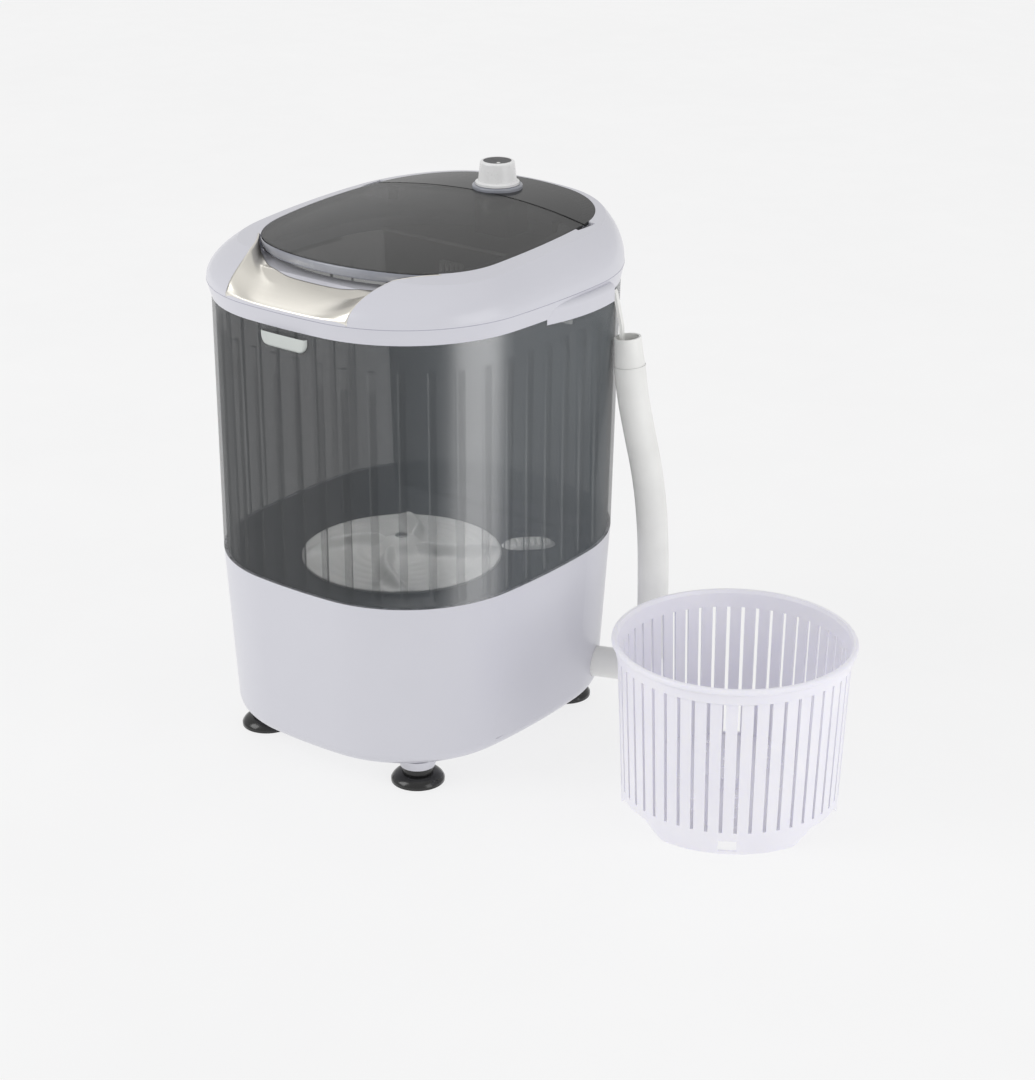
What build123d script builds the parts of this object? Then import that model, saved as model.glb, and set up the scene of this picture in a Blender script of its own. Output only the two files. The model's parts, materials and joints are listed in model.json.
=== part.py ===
"""Portable mini washer with its spin basket standing beside it.

Frame: millimetres, +Z up, the floor is z = 0, the washer's upright centre line is x = y = 0,
the front (finger recess) faces -Y and the drain hose is on the +X side.
"""
from build123d import *
from math import cos, radians, sin, tan
import os

os.makedirs("parts", exist_ok=True)

# ---- heights of the washer, from the floor up ----
foot_height = 16.0
base_bottom = 25.0
tub_floor_bottom = 165.0
tub_floor_top = 168.0
shell_seam = 187.5          # top of the white base, start of the smoked tub
rim_bottom = 434.0
rim_top = 449.0
wall = 3.0

# ---- plan sizes: half width, front depth, rear depth at each height ----
base_foot_size = (149.5, 175.0, 177.0)
shell_seam_size = (161.0, 181.0, 186.0)
rim_bottom_size = (165.0, 179.0, 193.0)
rim_top_size = (168.0, 183.0, 196.0)
side_bow = 18.0             # how far each side bulges past its corners
corner_shares = (0.77, 0.87)        # front and rear corner radius, as shares of the half width

# ---- lid and control panel: crowned surface and plan outline ----
crown_top = 499.3           # highest point of the crown
crown_y = 103.0             # where that point is, front to rear
crown_radius_long = 2000.0  # curvature front to rear
crown_radius_across = 840.0
skin = 3.0                  # thickness of lid and control panel
lid_front, lid_rear, lid_half = 132.0, 168.0, 129.0
lid_front_corner, lid_rear_corner = (121.0, -84.0), (112.0, 150.0)
lid_side_y = -5.0
lid_front_radius, lid_rear_radius = 90.0, 85.0
flange = 12.0               # ledge of the top cover that carries the lid
lid_gap = 0.6
cover_height = 43.0         # rise of the top cover above the rim, on the centre line
cover_tilt = 0.0417         # rise per millimetre towards the rear
cover_wall = 2.8

# ---- lid hinge ----
hinge_y, hinge_z = 84.0, 484.5
hinge_pin_radius = 2.5
hinge_clearance = 0.05
hinge_x = 102.0             # inner end of each socket
socket_length, socket_radius = 8.0, 3.9
seam_end_y, seam_bow = 88.0, 10.0
seam_gap = 2.2

# ---- finger recess and front trim ----
recess_floor = 468.0
recess_back_y = -94.0
scoop_halves, scoop_waist_y = (74.0, 77.0, 107.0), -147.0   # half widths at foot, waist and back
trim_top_y = -134.0
trim_foot_z = 451.3
trim_thickness = 2.0

# ---- knob and timer ----
knob_y = 121.0
plinth_radius, plinth_top = 24.0, 502.6
knob_base = 503.0
knob_height = 22.0
timer_shaft_radius = 3.0

# ---- drive ----
drive_y = -28.0             # pulsator axis
motor_y = 78.0              # motor axis
shaft_radius = 4.0
bearing_clearance = 0.05
pulley_z, pulley_width = 66.0, 10.0
drive_groove, motor_groove = 54.0, 9.0
groove_depth = 5.0
belt_clearance = 0.5
pulsator_radius = 95.0
pulsator_bottom = 171.0
motor_bottom, motor_top = 86.0, 150.0
motor_radius = 38.0

# ---- rear column and drain ----
column_y = 116.0
outlet_z = 54.0
hose_x, hose_y = 152.0, 98.0        # where the hose's upright plane meets the washer
hose_angle = 20.4                   # heading of that plane, degrees from +X
hose_radius, hose_bore = 14.75, 12.4
elbow_reach, elbow_top = 45.0, 105.0
drain_reach = -80.0                 # the strainer lies on the hose's plane, this far inside

# ---- feet ----
foot_places = {
    "front_left": (-95.0, -121.6), "front_right": (95.0, -121.6),
    "rear_left": (-95.0, 107.0), "rear_right": (95.0, 107.0),
}

# ---- spin basket ----
basket_x, basket_y = 347.6, 20.1
basket_height, basket_rim = 165.0, 110.0
basket_top_radius, basket_foot_radius = 104.5, 98.5
basket_band_z, basket_slot_foot = 149.0, 21.0
basket_wall = 2.6
basket_slots, slot_width = 48, 3.2
basket_turn = -57.7                 # heading of the first foot


def save(solid, name):
    solid.label = name
    export_step(solid, f"parts/{name}.step")


def outline(front, rear, side, front_corner, rear_corner, front_radius, rear_radius):
    """Plan face of four bowed sides: side is (half width, y), corners are on the +X half."""
    (sx, sy), (fx, fy), (rx, ry) = side, front_corner, rear_corner
    with BuildLine() as sides:
        ThreePointArc((-fx, fy), (0, -front), (fx, fy))
        ThreePointArc((fx, fy), (sx, sy), (rx, ry))
        ThreePointArc((rx, ry), (0, rear), (-rx, ry))
        ThreePointArc((-rx, ry), (-sx, sy), (-fx, fy))
    make_face(sides.edges())
    fillet(vertices().group_by(Axis.Y)[0], radius=front_radius)
    fillet(vertices().sort_by(Axis.Y)[-2:], radius=rear_radius)


def body_outline(size, inset=0.0):
    half, front, rear = size
    outline(
        front - inset, rear - inset, (half - inset, (rear - front) / 2),
        (half - side_bow - inset, side_bow - front + inset),
        (half - side_bow - inset, rear - side_bow - inset),
        corner_shares[0] * half - inset, corner_shares[1] * half - inset,
    )


def body_loft(levels, inset=0.0):
    """Solid through the washer's outline at each (height, size)."""
    with BuildPart() as body:
        for height, size in levels:
            with BuildSketch(Plane.XY.offset(height)):
                body_outline(size, inset)
        loft()
    return body.part


def size_at(height, low, low_size, high, high_size):
    share = (height - low) / (high - low)
    return tuple(a + (b - a) * share for a, b in zip(low_size, high_size))


def tub_size(height):
    return size_at(height, shell_seam, shell_seam_size, rim_bottom, rim_bottom_size)


def base_size(height):
    return size_at(height, base_bottom, base_foot_size, shell_seam, shell_seam_size)


def lid_outline(grow=0.0):
    (front_x, front_y), (rear_x, rear_y) = lid_front_corner, lid_rear_corner
    outline(
        lid_front + grow, lid_rear + grow, (lid_half + grow, lid_side_y),
        (front_x + 0.93 * grow, front_y - 0.49 * grow), (rear_x + 0.86 * grow, rear_y + 0.77 * grow),
        lid_front_radius + grow, lid_rear_radius + grow,
    )


def lid_prism(grow, bottom, height):
    with BuildPart() as prism:
        with BuildSketch(Plane.XY.offset(bottom)):
            lid_outline(grow)
        extrude(amount=height)
    return prism.part


def crown_slab(upper, lower, half_angle=13.5):
    """Slab of the crowned surface between two depths below it."""
    axis_z = crown_top - crown_radius_across
    turn = radians(half_angle)
    start = Plane(origin=(0, 0, axis_z), x_dir=(0, 1, 0), z_dir=(cos(turn), 0, sin(turn)))
    reach = 310.0
    drop = reach**2 / (2 * crown_radius_long)
    top = crown_radius_across - upper
    bottom = crown_radius_across - lower
    front, rear = crown_y - reach, crown_y + reach
    with BuildPart() as slab:
        with BuildSketch(start):
            with BuildLine():
                ThreePointArc((front, top - drop), (crown_y, top), (rear, top - drop))
                Line((rear, top - drop), (rear, bottom - drop))
                ThreePointArc((rear, bottom - drop), (crown_y, bottom), (front, bottom - drop))
                Line((front, bottom - drop), (front, top - drop))
            make_face()
        revolve(axis=Axis((0, 0, axis_z), (0, 1, 0)), revolution_arc=2 * half_angle)
    return slab.part


def seam_prism(shift, rear_side):
    """Everything in front of the lid's rear edge, or behind it, moved rearward by shift."""
    end, middle = seam_end_y + shift, seam_end_y + seam_bow + shift
    far = 260.0 if rear_side else -260.0
    with BuildPart() as prism:
        with BuildSketch(Plane.XY.offset(440)):
            with BuildLine():
                ThreePointArc((-lid_half - 4, end), (0, middle), (lid_half + 4, end))
                Polyline((lid_half + 4, end), (lid_half + 4, far), (-lid_half - 4, far), (-lid_half - 4, end))
            make_face()
        extrude(amount=100)
    return prism.part


def tube(points, radii, outer, inner):
    """Straight runs joined by tangent arcs, as a pipe with the given radii."""
    with BuildPart() as pipe:
        with BuildLine() as path:
            FilletPolyline(*points, radius=radii)
        with BuildSketch(Plane(origin=path.line @ 0, z_dir=path.line % 0)):
            Circle(outer)
            if inner:
                Circle(inner, mode=Mode.SUBTRACT)
        sweep(path=path.line)
    return pipe.part


def ring(x, y, bottom, height, outer, inner=0.0):
    with BuildPart() as part:
        with BuildSketch(Plane((x, y, bottom))):
            Circle(outer)
            if inner:
                Circle(inner, mode=Mode.SUBTRACT)
        extrude(amount=height)
    return part.part


# ---- feet: rubber suction cups under white bosses ----
cup_radius, cup_seat, cup_lip = 25.0, 22.5, 2.6     # outer edge, ring that meets the floor, edge height
cup_neck, cup_shoulder, cup_hollow = 15.0, 9.6, 5.5
boss_foot_radius, boss_top_radius = 16.5, 18.5


def suction_cup(x, y):
    with BuildPart() as cup:
        with BuildSketch(Plane((x, y, 0), x_dir=(1, 0, 0), z_dir=(0, -1, 0))):
            with BuildLine():
                Polyline((cup_seat, 0), (cup_radius, 0), (cup_radius, cup_lip))
                ThreePointArc((cup_radius, cup_lip), (21, 7.4), (cup_neck, cup_shoulder))
                Polyline((cup_neck, cup_shoulder), (cup_neck, foot_height), (0, foot_height), (0, cup_hollow))
                ThreePointArc((0, cup_hollow), (12, 3.6), (cup_seat, 0))
            make_face()
        revolve(axis=Axis((x, y, 0), (0, 0, 1)))
    return cup.part


for place, (x, y) in foot_places.items():
    save(suction_cup(x, y), f"foot_{place}")
    with BuildPart() as boss:
        with BuildSketch(Plane((x, y, foot_height))):
            Circle(boss_foot_radius)
        with BuildSketch(Plane((x, y, base_bottom))):
            Circle(boss_top_radius)
        loft()
    save(boss.part, f"foot_boss_{place}")

# ---- base housing: tapered white bucket, open at the top, with a service opening below ----
base_edge = 13.0                    # rounding of the base's bottom edge
service_opening = (150.0, 168.0, 24.0)
elbow_radius, elbow_clearance = 15.0, 0.2
gland_x, gland_y, gland_z = -60.0, 170.0, 60.0
gland_radius, gland_collar, gland_bore, gland_outer_y = 7.9, 10.5, 3.6, 188.0
vent_x, vent_z, vent_count, vent_pitch = 20.0, 78.0, 7, 9.0
vent_height, vent_width = 34.0, 3.4
with BuildPart() as base_outer:
    add(body_loft([(base_bottom, base_foot_size), (shell_seam, shell_seam_size)]))
    fillet(base_outer.faces().sort_by(Axis.Z)[0].edges(), radius=base_edge)
base_cavity = body_loft([(base_bottom + wall, base_foot_size), (shell_seam, shell_seam_size)], wall)
with BuildPart() as base_hollow:
    add(base_cavity)
    fillet(base_hollow.faces().sort_by(Axis.Z)[0].edges(), radius=base_edge - wall)

hose_dir = Vector(cos(radians(hose_angle)), sin(radians(hose_angle)), 0)


def on_hose_plane(reach, height):
    return (hose_x + hose_dir.X * reach, hose_y + hose_dir.Y * reach, height)


drain_x, drain_y, _ = on_hose_plane(drain_reach, tub_floor_bottom)

with BuildPart() as base_housing:
    add(base_outer.part)
    add(base_hollow.part, mode=Mode.SUBTRACT)
    with BuildSketch(Plane.XY.offset(base_bottom - 1)):
        RectangleRounded(*service_opening)
    extrude(amount=wall + 2, mode=Mode.SUBTRACT)
    with BuildSketch(Plane(on_hose_plane(-30, outlet_z), z_dir=hose_dir)):
        Circle(elbow_radius + elbow_clearance)
    extrude(amount=60, mode=Mode.SUBTRACT)
    with BuildSketch(Plane((gland_x, gland_y, gland_z), x_dir=(1, 0, 0), z_dir=(0, 1, 0))):
        Circle(gland_radius + 0.1)
    extrude(amount=30, mode=Mode.SUBTRACT)
    with BuildSketch(Plane((vent_x, gland_y, vent_z), x_dir=(1, 0, 0), z_dir=(0, 1, 0))):
        with GridLocations(vent_pitch, 1, vent_count, 1):
            SlotOverall(vent_height, vent_width, rotation=90)
    extrude(amount=30, mode=Mode.SUBTRACT)
save(base_housing.part, "base_housing")

plate_screws = [(sx * 79.0, sy * 70.0) for sx in (-1, 1) for sy in (-1, 1)]
plate_size, plate_thickness = (170.0, 188.0, 30.0), 2.5
plate_slot, plate_slot_pitch = (60.0, 5.0), 14.0
screw_radius, screw_head_radius, screw_head_height = 2.0, 4.2, 2.6
plate_bottom = base_bottom + wall
plate_top = plate_bottom + plate_thickness
with BuildPart() as base_plate:
    with BuildSketch(Plane.XY.offset(plate_bottom)):
        RectangleRounded(*plate_size)
        with GridLocations(plate_slot_pitch, 1, 7, 1):
            SlotOverall(*plate_slot, rotation=90, mode=Mode.SUBTRACT)
        with Locations(*plate_screws):
            Circle(screw_radius + 0.2, mode=Mode.SUBTRACT)
    extrude(amount=plate_thickness)
save(base_plate.part, "base_plate")

for count, (x, y) in enumerate(plate_screws, start=1):
    with BuildPart() as screw:
        with BuildSketch(Plane((x, y, plate_top))):
            Circle(screw_head_radius)
        extrude(amount=screw_head_height)
        with BuildSketch(Plane((x, y, plate_bottom))):
            Circle(screw_radius)
        extrude(amount=plate_thickness)
        with BuildSketch(Plane((x, y, plate_top + screw_head_height))):
            Rectangle(5.4, 1.1)
            Rectangle(1.1, 5.4)
        extrude(amount=-1.4, mode=Mode.SUBTRACT)
    save(screw.part, f"base_screw_{count}")

with BuildPart() as cord_gland:
    with BuildSketch(Plane((gland_x, gland_y, gland_z), x_dir=(1, 0, 0), z_dir=(0, 1, 0))):
        Circle(gland_radius)
    extrude(amount=gland_outer_y - gland_y)
    with BuildSketch(Plane((gland_x, gland_outer_y - 6, gland_z), x_dir=(1, 0, 0), z_dir=(0, 1, 0))):
        Circle(gland_collar)
    extrude(amount=6)
    chamfer(cord_gland.faces().sort_by(Axis.Y)[-1].edges(), length=2)
    with BuildSketch(Plane((gland_x, gland_y - 1, gland_z), x_dir=(1, 0, 0), z_dir=(0, 1, 0))):
        Circle(gland_bore)
    extrude(amount=24, mode=Mode.SUBTRACT)
save(cord_gland.part, "cord_gland")

# ---- tub: smoked shell with wash chamber in front and dry column at the rear ----
rib_pitch, rib_radius = 26.0, 5.0
rib_foot, rib_top = 190.0, 408.0
column_wall = 3.0
tub_gap = 0.4                       # between the tub's skirt and the base wall around it
column_opening, column_opening_y = (170.0, 40.0, 12.0), 147.0
shaft_opening, drain_opening = 16.0, 12.0
tub_outer = body_loft([(shell_seam, shell_seam_size), (rim_bottom, rim_bottom_size)])
tub_skirt = body_loft([(tub_floor_bottom, base_size(tub_floor_bottom)),
                       (shell_seam, shell_seam_size)], wall + tub_gap)
tub_cavity = body_loft([(tub_floor_top, base_size(tub_floor_top)), (shell_seam, shell_seam_size)],
                       2 * wall + tub_gap)
tub_inside = body_loft([(shell_seam - 0.01, shell_seam_size), (rim_bottom, rim_bottom_size)], wall)
rib_zone = body_loft([(rib_foot, tub_size(rib_foot)), (rib_top, tub_size(rib_top))], 1.2)

with BuildSketch() as rib_path:
    body_outline(tub_size((rib_foot + rib_top) / 2), wall)
rib_wire = rib_path.sketch.faces()[0].outer_wire()
rib_count = int(rib_wire.length / rib_pitch)
stations = [rib_wire @ (index / rib_count) for index in range(rib_count)]
stations = [spot for spot in stations if spot.Y < column_y - 30]
with BuildPart() as ribs:
    with BuildSketch(Plane.XY.offset(rib_foot)):
        with Locations(*[(spot.X, spot.Y) for spot in stations]):
            Circle(rib_radius)
    extrude(amount=rib_top - rib_foot)
    add(rib_zone, mode=Mode.INTERSECT)

with BuildPart() as tub_shape:
    add(tub_outer)
    add(tub_skirt)
with BuildPart() as tub:
    add(tub_shape.part)
    add(tub_cavity, mode=Mode.SUBTRACT)
    add(tub_inside, mode=Mode.SUBTRACT)
    add(ribs.part)
    with BuildSketch(Plane.XY.offset(tub_floor_bottom)):
        with Locations((0, column_y + column_wall / 2)):
            Rectangle(400, column_wall)
    extrude(amount=rim_bottom - tub_floor_bottom)
    with BuildSketch(Plane.XY.offset(tub_floor_bottom - 20)):
        with Locations((0, column_opening_y)):
            RectangleRounded(*column_opening)
    extrude(amount=40, mode=Mode.SUBTRACT)
    with BuildSketch(Plane.XY.offset(tub_floor_bottom - 20)):
        with Locations((0, drive_y)):
            Circle(shaft_opening)
        with Locations((drain_x, drain_y)):
            Circle(drain_opening)
    extrude(amount=40, mode=Mode.SUBTRACT)
    add(tub_shape.part, mode=Mode.INTERSECT)
save(tub.part, "tub")

# ---- grilles on the front of the column wall ----
grille_z = 398.0


def wall_grille(x, width, height, bars):
    """Framed grille of upright bars, standing proud of the column wall."""
    frame_depth = 2.4
    with BuildPart() as grille:
        with BuildSketch(Plane((x, column_y, grille_z), x_dir=(1, 0, 0), z_dir=(0, -1, 0))):
            RectangleRounded(width, height, 3)
            with GridLocations(width / (bars + 1), 1, bars, 1):
                SlotOverall(height - 8, width / (bars + 1) * 0.55, rotation=90, mode=Mode.SUBTRACT)
        extrude(amount=frame_depth)
    return grille.part


save(wall_grille(-52.0, 30.0, 40.0, 4), "overflow_grille")
save(wall_grille(70.0, 52.0, 30.0, 7), "inlet_grille")

with BuildPart() as column_cover:
    add(body_loft([(rim_bottom, rim_bottom_size), (rim_bottom + 3, rim_bottom_size)], wall + 1.2))
    with BuildSketch(Plane.XY.offset(rim_bottom - 1)):
        with Locations((0, column_y - 200)):
            Rectangle(500, 400)
    extrude(amount=8, mode=Mode.SUBTRACT)
save(column_cover.part, "column_cover")

# ---- rim collar with a finger grip on each side ----
rim_ledge = 14.0
grip_front, grip_rear, grip_reach = -28.0, 78.0, 8.0
grip_widest_y = 39.0
grip_bottom, grip_top = 429.0, 446.0
rim_outer = body_loft([(rim_bottom, rim_bottom_size), (rim_top, rim_top_size)])
with BuildPart() as grips:
    grip_x = rim_bottom_size[0]
    grip_outer = grip_x + grip_reach
    with BuildSketch(Plane.XY.offset(grip_bottom)):
        with BuildLine():
            grip_arc = ThreePointArc(
                (grip_x - 4, grip_front), (grip_outer, grip_widest_y), (grip_outer - 4, grip_rear)
            )
            Polyline(grip_arc @ 1, (grip_x - 12, grip_rear), (grip_x - 12, grip_front), grip_arc @ 0)
        make_face()
    extrude(amount=grip_top - grip_bottom)
    fillet(grips.faces().sort_by(Axis.Z)[-1].edges().sort_by(Axis.X)[-1], radius=5)
    mirror(about=Plane.YZ)
    add(body_loft([(grip_bottom - 1, tub_size(grip_bottom - 1)), (rim_bottom, rim_bottom_size)]),
        mode=Mode.SUBTRACT)
with BuildPart() as tub_rim:
    add(rim_outer)
    add(grips.part)
    add(body_loft([(rim_bottom - 6, rim_bottom_size), (rim_top + 1, rim_top_size)], rim_ledge),
        mode=Mode.SUBTRACT)
    add(body_loft([(rim_bottom - 1, rim_bottom_size), (rim_top - wall, rim_top_size)], wall),
        mode=Mode.SUBTRACT)
save(tub_rim.part, "tub_rim")

clip_half, clip_bottom, clip_top, clip_corner = 22.0, 419.5, 438.0, 8.0
with BuildPart() as front_clip:
    with BuildSketch(Plane((0, -179.3, (clip_bottom + clip_top) / 2), x_dir=(1, 0, 0), z_dir=(0, -1, 0))):
        RectangleRounded(2 * clip_half, clip_top - clip_bottom, clip_corner)
    extrude(amount=3.4)
    fillet(front_clip.faces().sort_by(Axis.Y)[0].edges().filter_by(GeomType.CIRCLE), radius=1)
    add(rim_outer, mode=Mode.SUBTRACT)
    add(tub_outer, mode=Mode.SUBTRACT)
save(front_clip.part, "front_clip")


# ---- top cover: convex ring from the rim up to the lid, scooped at the front ----
def cover_loft(inset=0.0, low=0.0):
    """Loft from the rim outline to the lid outline, drawn in faster towards the top."""
    half, front, rear = rim_top_size
    seam_corner_front = (half - side_bow, side_bow - front)
    seam_corner_rear = (half - side_bow, rear - side_bow)
    with BuildPart() as cover:
        for share in (0.0, 0.32, 0.58, 0.8, 1.0):
            drawn = share**2.2

            def mixed(low_value, high_value):
                return low_value + (high_value - low_value) * drawn

            tilt = cover_tilt * share
            level = rim_top + cover_height * share - low * (share if share else 0.3)
            with BuildSketch(Plane(origin=(0, 0, level), x_dir=(1, 0, 0), z_dir=(0, -tilt, 1))):
                outline(
                    mixed(front, lid_front + 2) - inset, mixed(rear, lid_rear + 2) - inset,
                    (mixed(half, lid_half + 2) - inset, mixed((rear - front) / 2, lid_side_y)),
                    (mixed(seam_corner_front[0], lid_front_corner[0] + 2) - inset,
                     mixed(seam_corner_front[1], lid_front_corner[1] - 1) + inset),
                    (mixed(seam_corner_rear[0], lid_rear_corner[0] + 2) - inset,
                     mixed(seam_corner_rear[1], lid_rear_corner[1] + 2) - inset),
                    mixed(corner_shares[0] * half, lid_front_radius) - inset,
                    mixed(corner_shares[1] * half, lid_rear_radius) - inset,
                )
        loft()
    return cover.part


def scoop_prism(grow, lower):
    """Space above the recess floor and the concave trim, inside the swept side curves."""
    floor = recess_floor - lower
    foot = trim_foot_z - lower
    top = (trim_top_y - lower / 2, floor)
    with BuildPart() as profile:
        with BuildSketch(Plane.YZ.offset(-120)):
            with BuildLine():
                Polyline((recess_back_y, 520), (recess_back_y, floor), top)
                ThreePointArc(top, (-161, 457.2 - lower), (-186, foot))
                Polyline((-186, foot), (-220, foot), (-220, 520), (recess_back_y, 520))
            make_face()
        extrude(amount=240)
        with BuildSketch(Plane.XY.offset(430)):
            with BuildLine():
                foot_x, waist_x, back_x = (half + grow for half in scoop_halves)
                right = ThreePointArc((foot_x, -220), (waist_x, scoop_waist_y), (back_x, recess_back_y))
                Line(right @ 1, (-back_x, recess_back_y))
                left = ThreePointArc((-back_x, recess_back_y), (-waist_x, scoop_waist_y), (-foot_x, -220))
                Line(left @ 1, right @ 0)
            make_face()
        extrude(amount=100, mode=Mode.INTERSECT)
    return profile.part


under_crown = crown_slab(-0.1, 90)
scoop = scoop_prism(0, 0)
cover_solid = cover_loft()
with BuildPart() as cover_outer:
    add(cover_solid)
    add(under_crown, mode=Mode.INTERSECT)
with BuildPart() as cover_hollow:
    add(cover_loft(cover_wall, cover_wall))
    add(crown_slab(skin + lid_gap + cover_wall, 95), mode=Mode.INTERSECT)
with BuildPart() as scoop_walls:
    add(scoop_prism(2.5, 2.5))
    add(cover_outer.part, mode=Mode.INTERSECT)
with BuildPart() as top_cover:
    add(cover_outer.part)
    add(cover_hollow.part, mode=Mode.SUBTRACT)
    add(scoop_walls.part)
    add(scoop, mode=Mode.SUBTRACT)
    with BuildSketch(Plane.XY.offset(rim_top - 10)):
        lid_outline(-flange)
    extrude(amount=80, mode=Mode.SUBTRACT)
with BuildPart() as lid_pocket:
    add(lid_prism(0.8, 460, 60))
    add(crown_slab(-20, skin + lid_gap), mode=Mode.INTERSECT)
    add(seam_prism(1.0, rear_side=False), mode=Mode.INTERSECT)
with BuildPart() as panel_pocket:
    add(lid_prism(0.3, 460, 60))
    add(crown_slab(-20, skin), mode=Mode.INTERSECT)
    add(seam_prism(1.0, rear_side=True), mode=Mode.INTERSECT)
with BuildPart() as hinge_notch:
    with BuildSketch(Plane.XY.offset(474)):
        with Locations((0, hinge_y + 4)):
            Rectangle(2 * (lid_half + 0.8), 26)
    extrude(amount=40)
with BuildPart() as finished_cover:
    add(top_cover.part)
    add(lid_pocket.part, mode=Mode.SUBTRACT)
    add(panel_pocket.part, mode=Mode.SUBTRACT)
    add(hinge_notch.part, mode=Mode.SUBTRACT)
    for side in (-1, 1):
        with BuildSketch(Plane((side * hinge_x, hinge_y, hinge_z), x_dir=(0, 1, 0), z_dir=(side, 0, 0))):
            Circle(socket_radius)
        extrude(amount=socket_length)
        with BuildSketch(Plane((side * (hinge_x + socket_length / 2), hinge_y - 0.4, 474))):
            Rectangle(socket_length, 2 * socket_radius - 0.8)
        extrude(amount=hinge_z - 475)
        with BuildSketch(Plane((side * (hinge_x + 27), hinge_y - 0.4, 474))):
            Rectangle(54, 2 * socket_radius - 0.8)
        extrude(amount=4.5)
        pin_plane = Plane((side * (hinge_x - 2), hinge_y, hinge_z), x_dir=(0, 1, 0), z_dir=(side, 0, 0))
        with BuildSketch(pin_plane):
            Circle(hinge_pin_radius + hinge_clearance)
        extrude(amount=socket_length + 4, mode=Mode.SUBTRACT)
    add(cover_outer.part, mode=Mode.INTERSECT)
save(finished_cover.part, "top_cover")

# ---- concave metallic trim in the scoop ----
with BuildPart() as front_trim:
    add(scoop_prism(-0.3, 0))
    add(scoop_prism(4, -trim_thickness), mode=Mode.SUBTRACT)
    add(cover_outer.part, mode=Mode.INTERSECT)
    with BuildSketch(Plane.XY.offset(430)):
        with Locations((0, trim_top_y - 60)):
            Rectangle(300, 120)
    extrude(amount=100, mode=Mode.INTERSECT)
save(front_trim.part, "front_trim")

# ---- lid: crowned panel with a skirt at the finger recess and two hinge lugs ----
skirt_depth, skirt_wall, skirt_rear_y = 10.0, 2.5, -97.0
lug_width, lug_gap = 5.0, 1.0
with BuildPart() as lid_skirt:
    add(lid_prism(0, 460, 60))
    add(lid_prism(-skirt_wall, 450, 80), mode=Mode.SUBTRACT)
    add(crown_slab(skin - 0.5, skirt_depth), mode=Mode.INTERSECT)
    with BuildSketch(Plane.XY.offset(450)):
        with Locations((0, skirt_rear_y - 50)):
            Rectangle(260, 100)
    extrude(amount=80, mode=Mode.INTERSECT)
with BuildPart() as lid_lugs:
    for side in (-1, 1):
        with BuildSketch(Plane((side * (hinge_x - lug_gap - lug_width / 2), hinge_y, hinge_z - 4.5))):
            Rectangle(lug_width, 8)
        extrude(amount=20)
    add(crown_slab(skin / 2, 90), mode=Mode.INTERSECT)
with BuildPart() as lid:
    add(lid_prism(0, 460, 60))
    add(crown_slab(0, skin), mode=Mode.INTERSECT)
    add(seam_prism(0, rear_side=False), mode=Mode.INTERSECT)
    add(lid_skirt.part)
    add(lid_lugs.part)
    with BuildSketch(Plane((-150, hinge_y, hinge_z), x_dir=(0, 1, 0), z_dir=(1, 0, 0))):
        Circle(hinge_pin_radius)
    extrude(amount=300, mode=Mode.SUBTRACT)
save(lid.part, "lid")

for side, name in ((-1, "left"), (1, "right")):
    with BuildPart() as hinge_pin:
        with BuildSketch(Plane((side * (hinge_x - lug_gap - lug_width), hinge_y, hinge_z),
                               x_dir=(0, 1, 0), z_dir=(side, 0, 0))):
            Circle(hinge_pin_radius)
        extrude(amount=lug_width + lug_gap + socket_length)
        chamfer(hinge_pin.faces().sort_by(Axis.X)[0 if side < 0 else -1].edges(), length=0.5)
    save(hinge_pin.part, f"hinge_pin_{name}")

# ---- control panel behind the lid, with the knob's plinth, timer and knob ----
panel_edge = 1.5            # thickness of the edge that overhangs towards the lid
panel_undercut = 4.6
timer_front_y, timer_depth, timer_width = 109.0, 36.0, 40.0
timer_bottom, timer_top = 455.0, 488.0
with BuildPart() as control_panel:
    add(lid_prism(0, 460, 60))
    add(crown_slab(0, panel_edge), mode=Mode.INTERSECT)
    add(seam_prism(seam_gap, rear_side=True), mode=Mode.INTERSECT)
with BuildPart() as panel_backing:
    add(lid_prism(0, 460, 60))
    add(crown_slab(panel_edge - 0.1, skin), mode=Mode.INTERSECT)
    add(seam_prism(panel_undercut, rear_side=True), mode=Mode.INTERSECT)
with BuildPart() as whole_panel:
    add(control_panel.part)
    add(panel_backing.part)
    with BuildSketch(Plane((0, knob_y, 480))):
        Circle(timer_shaft_radius + 1)
    extrude(amount=40, mode=Mode.SUBTRACT)
save(whole_panel.part, "control_panel")

with BuildPart() as knob_plinth:
    with BuildSketch(Plane((0, knob_y, 490))):
        Circle(plinth_radius)
    extrude(amount=plinth_top - 490)
    fillet(knob_plinth.faces().sort_by(Axis.Z)[-1].edges(), radius=1.5)
    with BuildSketch(Plane((0, knob_y, 480))):
        Circle(timer_shaft_radius + 1)
    extrude(amount=40, mode=Mode.SUBTRACT)
    add(crown_slab(0, 60), mode=Mode.SUBTRACT)
save(knob_plinth.part, "knob_plinth")

with BuildPart() as timer_body:
    with BuildSketch(Plane((0, timer_front_y + timer_depth / 2, timer_bottom))):
        RectangleRounded(timer_width, timer_depth, 4)
    extrude(amount=timer_top - timer_bottom)
    with BuildSketch(Plane((0, knob_y, timer_top))):
        Circle(7)
    extrude(amount=20)
    with BuildSketch(Plane((0, knob_y, timer_bottom + 6))):
        Circle(timer_shaft_radius + hinge_clearance)
    extrude(amount=60, mode=Mode.SUBTRACT)
    add(crown_slab(-40, skin), mode=Mode.SUBTRACT)
save(timer_body.part, "timer_body")

shaft_top = knob_base + 12
save(ring(0, knob_y, timer_bottom + 6.5, shaft_top - timer_bottom - 6.5, timer_shaft_radius), "timer_shaft")

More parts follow.
